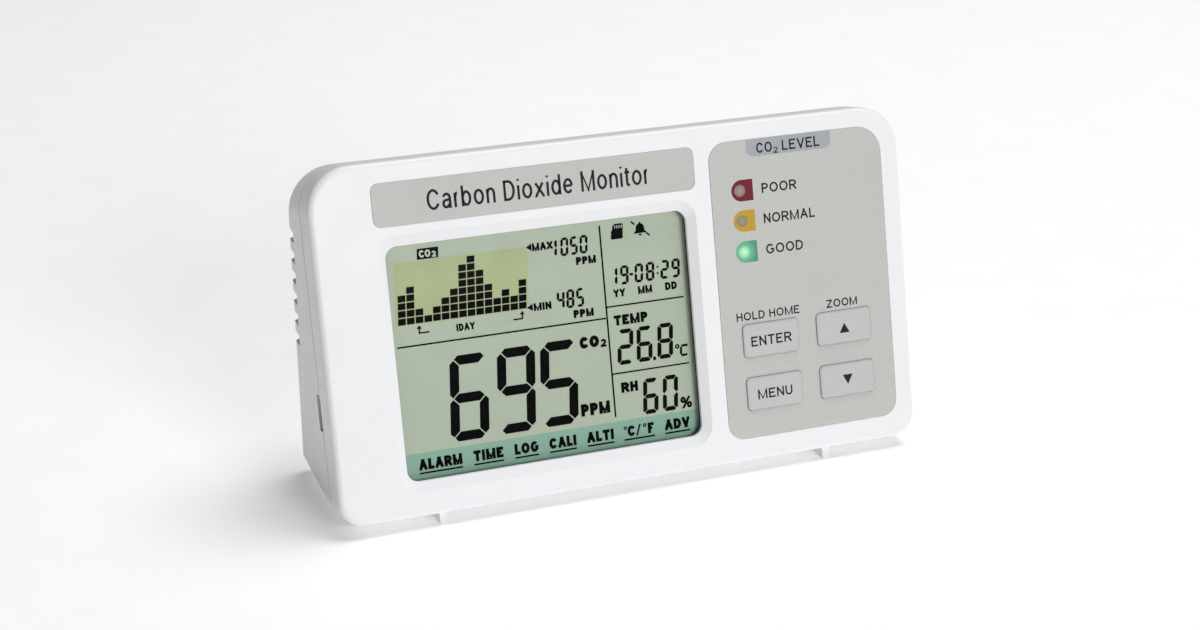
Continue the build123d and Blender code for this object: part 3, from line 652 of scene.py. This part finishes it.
# ---- the display's picture ----
SLANT = math.tan(math.radians(4.5))
BAR_HEIGHTS = [4, 5, 2, 1, 2, 3, 4, 7, 8, 6, 4, 2, 3, 2, 4]
BAR_LEFT = -57.5
BAR_BOTTOM = 46.3
BAR_PITCH = 2.17
CELL_WIDTH = 1.93
CELL_PITCH = 1.85
CELL_HEIGHT = 1.6


def chart_cells():
    cells = []
    for column, count in enumerate(BAR_HEIGHTS):
        for row in range(count):
            bottom = BAR_BOTTOM + row * CELL_PITCH
            left = BAR_LEFT + column * BAR_PITCH + SLANT * row * CELL_PITCH
            cells.append(box_points(left, left + CELL_WIDTH, bottom, bottom + CELL_HEIGHT, SLANT))
    return cells


def degree_ring(sheet, name, x, y, radius, material):
    outer = arc_points(x, y, radius, 0, 345, 23)
    inner = arc_points(x, y, radius * 0.36, 0, 345, 23)
    sheet.draw_holed(name, material, outer, inner)


def draw_chart(sheet):
    """The bar chart, its coloured ground, its title and its time marks."""
    zone = [(-58.3, 46.0), (-24.6, 46.0), (-23.6, 61.3), (-57.2, 61.3)]
    sheet.draw("chart_zone", "zone", [zone], lift=GROUND_LIFT, thick=GROUND_THICK)
    sheet.draw("chart_bars", "segment", chart_cells(), lift=SEGMENT_LIFT)
    badge = [(-51.3, 61.5), (-46.0, 61.5), (-45.8, 64.1), (-51.1, 64.1)]
    sheet.draw("chart_badge", "segment", [badge], lift=SEGMENT_LIFT)
    words = [("CO", -50.7, -47.9, 61.9, 63.7, 0.42), ("2", -47.6, -46.5, 61.75, 63.2, 0.36)]
    sheet.write("chart_badge_letters", "badge", words, gap=TIGHT, lift=BADGE_LIFT)
    day = [("1DAY", -43.3, -38.6, 43.0, 44.8, 0.46)]
    sheet.write("chart_span", "segment", day, gap=TIGHT, lift=SEGMENT_LIFT)
    marks = []
    for corner, tail in ((-52.5, -50.0), (-26.5, -28.8)):
        marks.append(line_points((corner, 43.9), (tail, 43.9), 0.38))
        marks.append(box_points(corner - 0.19, corner + 0.19, 43.71, 45.0, SLANT))
        marks.append([(corner - 0.62, 44.9), (corner + 0.72, 44.9), (corner + 0.12, 45.8)])
    sheet.draw("chart_time_arrows", "segment", marks, lift=SEGMENT_LIFT)


def draw_limits(sheet):
    """The highest and lowest reading beside the chart."""
    arrows = [
        [(-24.0, 61.0), (-22.55, 60.1), (-22.55, 61.9)],
        [(-25.1, 46.3), (-23.6, 45.4), (-23.6, 47.2)],
    ]
    sheet.draw("limit_arrows", "segment", arrows, lift=SEGMENT_LIFT)
    words = [
        ("MAX", -22.4, -17.1, 59.95, 61.85, 0.56),
        ("MIN", -23.35, -18.8, 45.3, 47.2, 0.56),
        ("PPM", -11.5, -6.3, 55.15, 57.1, 0.62),
        ("PPM", -13.3, -8.05, 42.15, 44.15, 0.62),
    ]
    sheet.write("limit_letters", "segment", words, gap=TIGHT, lift=SEGMENT_LIFT)
    highest = figure_shapes("1050", (-18.3, -15.35, -12.9, -10.35), 2.05, 57.8, 62.3, 0.66, 0.05, SLANT)
    lowest = figure_shapes("485", (-17.5, -15.0, -12.45), 2.05, 44.8, 49.4, 0.66, 0.05, SLANT)
    sheet.draw("limit_figures", "segment", highest + lowest, lift=SEGMENT_LIFT)


def draw_rules(sheet):
    """The thin rules that divide the display."""
    rules = [
        line_points((-58.3, 41.0), (-5.0, 41.0), 0.4),
        line_points((-4.7, 15.9), (-4.7, 64.1), 0.44),
        line_points((-4.5, 43.7), (16.0, 43.7), 0.38),
        line_points((-4.5, 26.8), (16.0, 26.8), 0.38),
    ]
    sheet.draw("display_rules", "segment", rules, lift=SEGMENT_LIFT)


def draw_icons(sheet):
    """The card symbol and the crossed-out bell."""
    card = [(-1.7, 60.25), (1.0, 60.25), (1.2, 60.5), (1.45, 63.8), (1.2, 64.05), (-0.7, 64.05)]
    card += [(-1.3, 63.6), (-1.45, 62.6), (-1.75, 62.3), (-1.95, 60.5)]
    sheet.draw("card_symbol", "segment", [card], lift=SEGMENT_LIFT)
    contacts = []
    for index in range(4):
        left = -0.85 + index * 0.58
        contacts.append(box_points(left, left + 0.2, 62.9, 63.65, SLANT))
    sheet.draw("card_symbol_contacts", "badge", contacts, lift=BADGE_LIFT)
    bell = [(4.0, 61.0), (7.65, 61.0), (7.05, 61.65)] + arc_points(5.85, 62.35, 1.1, 5, 175)
    bell.append((4.7, 61.65))
    clapper = arc_points(5.8, 60.8, 0.45, 180, 360)
    knob = arc_points(5.9, 63.55, 0.26, 0, 345, 11)
    strikes = [line_points((3.6, 64.1), (4.55, 63.25), 0.42), line_points((7.35, 61.0), (8.3, 60.15), 0.42)]
    sheet.draw("bell_symbol", "segment", [bell, clapper, knob] + strikes, lift=SEGMENT_LIFT)


def draw_clock(sheet):
    """The date with the letters under it."""
    lefts = (-3.5, -0.55, 3.3, 6.3, 10.2, 13.15)
    shapes = figure_shapes("190829", lefts, 2.25, 48.8, 53.5, 0.7, 0.05, SLANT)
    shapes.append(box_points(2.1, 3.05, 50.8, 51.4))
    shapes.append(box_points(9.3, 9.75, 50.2, 50.7, SLANT))
    shapes.append(box_points(9.4, 9.85, 51.8, 52.3, SLANT))
    sheet.draw("clock_figures", "segment", shapes, lift=SEGMENT_LIFT)
    words = [
        ("YY", -2.5, 0.6, 45.9, 47.85, 0.54),
        ("MM", 4.0, 7.75, 45.9, 47.85, 0.54),
        ("DD", 11.25, 14.4, 45.9, 47.85, 0.56),
    ]
    sheet.write("clock_letters", "segment", words, gap=TIGHT, lift=SEGMENT_LIFT)


def draw_climate(sheet):
    """The temperature and the humidity."""
    words = [
        ("TEMP", -3.0, 5.95, 38.8, 41.35, 0.78),
        ("RH", -2.6, 1.85, 21.75, 24.35, 0.8),
        ("%", 12.85, 15.95, 15.4, 18.4, 0.6),
    ]
    sheet.write("climate_letters", "segment", words, gap=TIGHT, lift=SEGMENT_LIFT)
    shapes = figure_shapes("268", (-3.0, 2.1, 7.65), 4.2, 28.8, 37.7, 1.08, 0.08, SLANT)
    shapes += figure_shapes("60", (2.65, 7.95), 4.1, 15.4, 24.4, 1.1, 0.08, SLANT)
    shapes.append(box_points(6.5, 7.3, 28.8, 29.65))
    shapes.append(line_points((14.25, 31.4), (16.0, 31.4), 0.6))
    shapes.append(line_points((14.05, 29.25), (14.2, 31.1), 0.6))
    shapes.append(line_points((14.1, 29.0), (15.75, 29.0), 0.6))
    sheet.draw("climate_figures", "segment", shapes, lift=SEGMENT_LIFT)
    degree_ring(sheet, "temperature_degree", 13.2, 31.35, 0.62, "segment")


def draw_reading(sheet):
    """The large reading with its name and unit."""
    shapes = figure_shapes("695", (-47.4, -35.4, -24.3), 9.8, 16.1, 37.15, 2.35, 0.2, SLANT)
    sheet.draw("reading_figures", "segment", shapes, lift=SEGMENT_LIFT)
    words = [
        ("CO", -12.45, -7.35, 34.25, 37.2, 0.98),
        ("2", -7.0, -5.45, 34.0, 36.0, 0.56),
        ("PPM", -13.6, -5.95, 17.35, 20.45, 0.95),
    ]
    sheet.write("reading_letters", "segment", words, gap=TIGHT, lift=SEGMENT_LIFT)


MENU_WORDS = [
    ("ALARM", -55.9, -45.0),
    ("TIME", -42.1, -34.5),
    ("LOG", -31.6, -25.4),
    ("CALI", -22.6, -15.5),
    ("ALTI", -12.7, -5.6),
    ("ADV", 8.1, 14.9),
]


def draw_menu(sheet):
    """The coloured band with its underlined menu words."""
    left, right, bottom, top = display_edges()
    band = box_points(left, right, bottom, 14.8)
    sheet.draw("menu_band", "band", [band], lift=GROUND_LIFT, thick=GROUND_THICK)
    words = [(text, start, end, 10.5, 13.2, 0.8) for text, start, end in MENU_WORDS]
    words += [
        ("C", -1.9, 0.15, 10.5, 13.2, 0.78),
        ("/", 0.35, 1.7, 10.4, 13.3, 0.45),
        ("F", 3.55, 5.2, 10.5, 13.2, 0.78),
    ]
    sheet.write("menu_letters", "segment", words, gap=TIGHT, lift=SEGMENT_LIFT)
    degree_ring(sheet, "menu_degree_c", -2.4, 12.75, 0.48, "segment")
    degree_ring(sheet, "menu_degree_f", 2.75, 12.75, 0.48, "segment")
    rules = [line_points((start, 9.75), (end, 9.75), 0.42) for text, start, end in MENU_WORDS]
    rules.append(line_points((-2.9, 9.75), (5.3, 9.75), 0.42))
    sheet.draw("menu_underlines", "segment", rules, lift=SEGMENT_LIFT)


def display_edges():
    """The visible edges of the display in its own drawing's millimetres."""
    margin = 0.6
    left = (WINDOW[0] - margin - DISPLAY_SHIFT[0]) / DISPLAY_SCALE
    right = (WINDOW[1] + margin - DISPLAY_SHIFT[0]) / DISPLAY_SCALE
    bottom = (WINDOW[2] - margin - DISPLAY_SHIFT[1]) / DISPLAY_SCALE
    top = (WINDOW[3] + margin - DISPLAY_SHIFT[1]) / DISPLAY_SCALE
    return left, right, bottom, top


def draw_display():
    sheet = Sheet(DISPLAY_SHIFT, DISPLAY_SCALE, DISPLAY_TOP, "case", "lcd_cell")
    left, right, bottom, top = display_edges()
    panel = round_box(left, right, bottom, top, (0.6, 0.6, 0.6, 0.6))
    sheet.draw("display_panel", "panel", [panel], thick=GROUND_THICK)
    draw_chart(sheet)
    draw_limits(sheet)
    draw_rules(sheet)
    draw_icons(sheet)
    draw_clock(sheet)
    draw_climate(sheet)
    draw_reading(sheet)
    draw_menu(sheet)


# ---- prints on the face ----
LEVELS = (
    ("poor", "POOR", 48.9, "red"),
    ("normal", "NORMAL", 53.5, "amber"),
    ("good", "GOOD", 49.6, "green"),
)
MARK_LEFT = 31.0
MARK_RIGHT = 36.9
MARK_HALF = 2.7
MARK_STEPS = 24


def level_mark(y):
    """The outline of a level mark: round on the left and square on the right."""
    turn = 360 / MARK_STEPS
    inner = []
    outer = []
    for index in range(MARK_STEPS):
        angle = math.radians(index * turn - 180)
        across = math.cos(angle)
        up = math.sin(angle)
        inner.append((LAMP_X + LAMP_HOLE * across, y + LAMP_HOLE * up))
        if across <= 0:
            centre = MARK_LEFT + MARK_HALF
            outer.append((centre + MARK_HALF * across, y + MARK_HALF * up))
        else:
            reach = MARK_RIGHT - LAMP_X
            stretch = min(reach / max(across, 1e-6), MARK_HALF / max(abs(up), 1e-6))
            outer.append((LAMP_X + stretch * across, y + stretch * up))
    snap_corner(outer, MARK_RIGHT, y + MARK_HALF)
    snap_corner(outer, MARK_RIGHT, y - MARK_HALF)
    return outer, inner


def snap_corner(points, x, y):
    """Move the nearest point of an outline onto a sharp corner."""
    nearest = min(range(len(points)), key=lambda i: math.dist(points[i], (x, y)))
    points[nearest] = (x, y)


def draw_levels(sheet):
    for name, text, right, colour in LEVELS:
        y = LAMP_HEIGHTS[name]
        outer, inner = level_mark(y)
        # the green mark's material paints the glow of its lit lamp on the print
        sheet.draw_holed(f"level_mark_{name}", colour, outer, inner)
        # the windows' materials paint shade at the rims of the unlit red and amber lamps
        window = arc_points(LAMP_X, y, LAMP_HOLE - 0.02, 0, 345, 23)
        sheet.draw(f"lamp_window_{name}", f"{colour}_lamp", [window], thick=0.012)
        word = [(text, 39.3, right, y - 1.25, y + 1.25, 0.42)]
        sheet.write(f"level_word_{name}", "ink", word)


def draw_panel_words(sheet):
    tab = round_box(35.8, 59.2, 76.5, 80.85, (2.0, 2.0, 0.15, 0.15))
    sheet.draw("panel_tab", "tab", [tab])
    words = [
        ("CO", 38.6, 42.95, 77.2, 79.8, 0.42),
        ("2", 43.25, 44.5, 76.75, 78.3, 0.28),
        ("LEVEL", 45.7, 56.1, 77.2, 79.8, 0.42),
    ]
    sheet.write("panel_tab_words", "ink", words, lift=PRINT_THICK)
    hints = [("HOLD HOME", 29.8, 47.3, 35.3, 37.4, 0.35), ("ZOOM", 55.0, 63.7, 35.45, 37.55, 0.35)]
    sheet.write("key_hints", "ink", hints)


def draw_title(sheet):
    title = [("Carbon Dioxide Monitor", -47.5, 9.3, 72.9, 77.9, 0.62)]
    sheet.write("title_words", "ink", title)


KEY_BOXES = {
    "enter": (31.1, 46.6, 25.65, 34.25),
    "menu": (31.1, 46.6, 11.9, 20.5),
    "up": (51.7, 67.2, 25.85, 34.45),
    "down": (51.7, 67.2, 12.0, 20.6),
}


def draw_keys():
    """Each key's outline and mark ride on the key itself."""
    for name, (left, right, bottom, top) in KEY_BOXES.items():
        sheet = Sheet(PRINT_SHIFT, 1.0, KEY_TOP, f"{name}_key", "key_grey")
        outer = round_box(left + 0.02, right - 0.02, bottom + 0.02, top - 0.02, (1.2,) * 4)
        inner = round_box(left + 0.42, right - 0.42, bottom + 0.42, top - 0.42, (0.8,) * 4)
        sheet.draw_holed(f"key_outline_{name}", "outline", outer, inner, lift=-0.28, thick=0.3)
        middle = (left + right) / 2
        if name == "enter":
            sheet.write("key_word_enter", "ink", [("ENTER", 33.2, 44.4, 28.45, 31.0, 0.42)])
        elif name == "menu":
            sheet.write("key_word_menu", "ink", [("MENU", 34.0, 43.6, 14.7, 17.2, 0.42)])
        elif name == "up":
            arrow = [(middle - 1.4, 28.55), (middle + 1.4, 28.55), (middle, 31.1)]
            sheet.draw("key_arrow_up", "ink", [arrow])
        else:
            arrow = [(middle - 1.4, 17.55), (middle, 15.0), (middle + 1.4, 17.55)]
            sheet.draw("key_arrow_down", "ink", [arrow])


def draw_face():
    sheet = Sheet(PRINT_SHIFT, 1.0, FILM_TOP, "case", "grey_film")
    draw_title(sheet)
    draw_panel_words(sheet)
    draw_levels(sheet)
    draw_keys()


# ---- finishes of the CAD nodes ----
FINISH_BY_SLOT = {
    "white_case": "case",
    "clear_window": "pane",
    "lcd_cell": "panel",
    "dark_plastic": "dark",
    "diffuser": "milky",
    "contact_rubber": "rubber",
    "grey_film": "film",
    "key_grey": "key",
    "led_red": "red_lamp",
    "led_amber": "amber_lamp",
    "led_green": "green_lamp",
    "circuit_board": "board",
    "steel": "steel",
    "tin_can": "tin",
    "black_plastic": "dark",
    "gold_chamber": "gold",
    "membrane": "membrane",
    "white_plastic": "white",
    "capacitor_sleeve": "sleeve",
    "silver_label": "label",
}


def finish_nodes():
    """Give each CAD node the finish of its material slot."""
    for subpart in frame["record"]["subparts"]:
        node = frame["nodes"][subpart["node"]]
        node.data.materials.clear()
        node.data.materials.append(M[FINISH_BY_SLOT[subpart["material_slot"]]])


# ---- surroundings ----
CAMERA_AIM = (-7.5, 43.15)
CAMERA_DISTANCE = 0.516
CAMERA_LENS = 62.7
CAMERA_FORWARD = Vector((0.3215, 0.8653, -0.3847))


def add_camera():
    data = bpy.data.cameras.new("camera")
    data.lens = CAMERA_LENS
    data.sensor_width = 36.0
    data.clip_start = 0.01
    camera = bpy.data.objects.new("camera", data)
    bpy.context.scene.collection.objects.link(camera)
    aim = FACE @ Vector((CAMERA_AIM[0], CAMERA_AIM[1], 0))
    forward = CAMERA_FORWARD.normalized()
    camera.rotation_mode = "QUATERNION"
    camera.rotation_quaternion = forward.to_track_quat("-Z", "Y")
    camera.location = aim - forward * CAMERA_DISTANCE
    bpy.context.scene.camera = camera


def add_floor():
    """A plain pale floor."""
    bm = bmesh.new()
    bmesh.ops.create_grid(bm, x_segments=1, y_segments=1, size=3.0)
    mesh = bpy.data.meshes.new("floor")
    bm.to_mesh(mesh)
    bm.free()
    floor = bpy.data.objects.new("floor", mesh)
    bpy.context.scene.collection.objects.link(floor)
    floor.location.z = cad_low.z
    material, nodes, links, shader = start_material("floor_paper")
    paper = object_noise(nodes, links, 60, detail=4.0)
    low = (0.93, 0.93, 0.93, 1.0)
    high = (0.96, 0.96, 0.96, 1.0)
    links.new(ramp_between(nodes, links, paper, low, high), shader.inputs["Base Color"])
    shader.inputs["Roughness"].default_value = 0.9
    shader.inputs["Emission Color"].default_value = (1, 1, 1, 1)
    shader.inputs["Emission Strength"].default_value = 0.2
    mesh.materials.append(material)


def add_lamp(name, position, size, power, target=(0, 0, 0.045)):
    data = bpy.data.lights.new(name, "AREA")
    data.shape = "DISK"
    data.size = size
    data.energy = power
    lamp = bpy.data.objects.new(name, data)
    bpy.context.scene.collection.objects.link(lamp)
    lamp.location = position
    lamp.rotation_mode = "QUATERNION"
    direction = Vector(target) - Vector(position)
    lamp.rotation_quaternion = direction.to_track_quat("-Z", "Y")


def add_light():
    """Soft light from the front right and above, in a pale room."""
    world = bpy.data.worlds.new("studio")
    bpy.context.scene.world = world
    world.use_nodes = True
    background = world.node_tree.nodes["Background"]
    background.inputs["Color"].default_value = (1.0, 1.0, 1.0, 1.0)
    background.inputs["Strength"].default_value = 0.1
    add_lamp("key_light", (0.6, -2.6, 0.9), 1.2, 35.0)
    add_lamp("top_light", (0.5, 0.1, 1.8), 1.2, 23.0)
    bpy.context.scene.view_settings.view_transform = "Standard"


add_camera()
add_floor()
add_light()
finish_nodes()
draw_display()
draw_face()
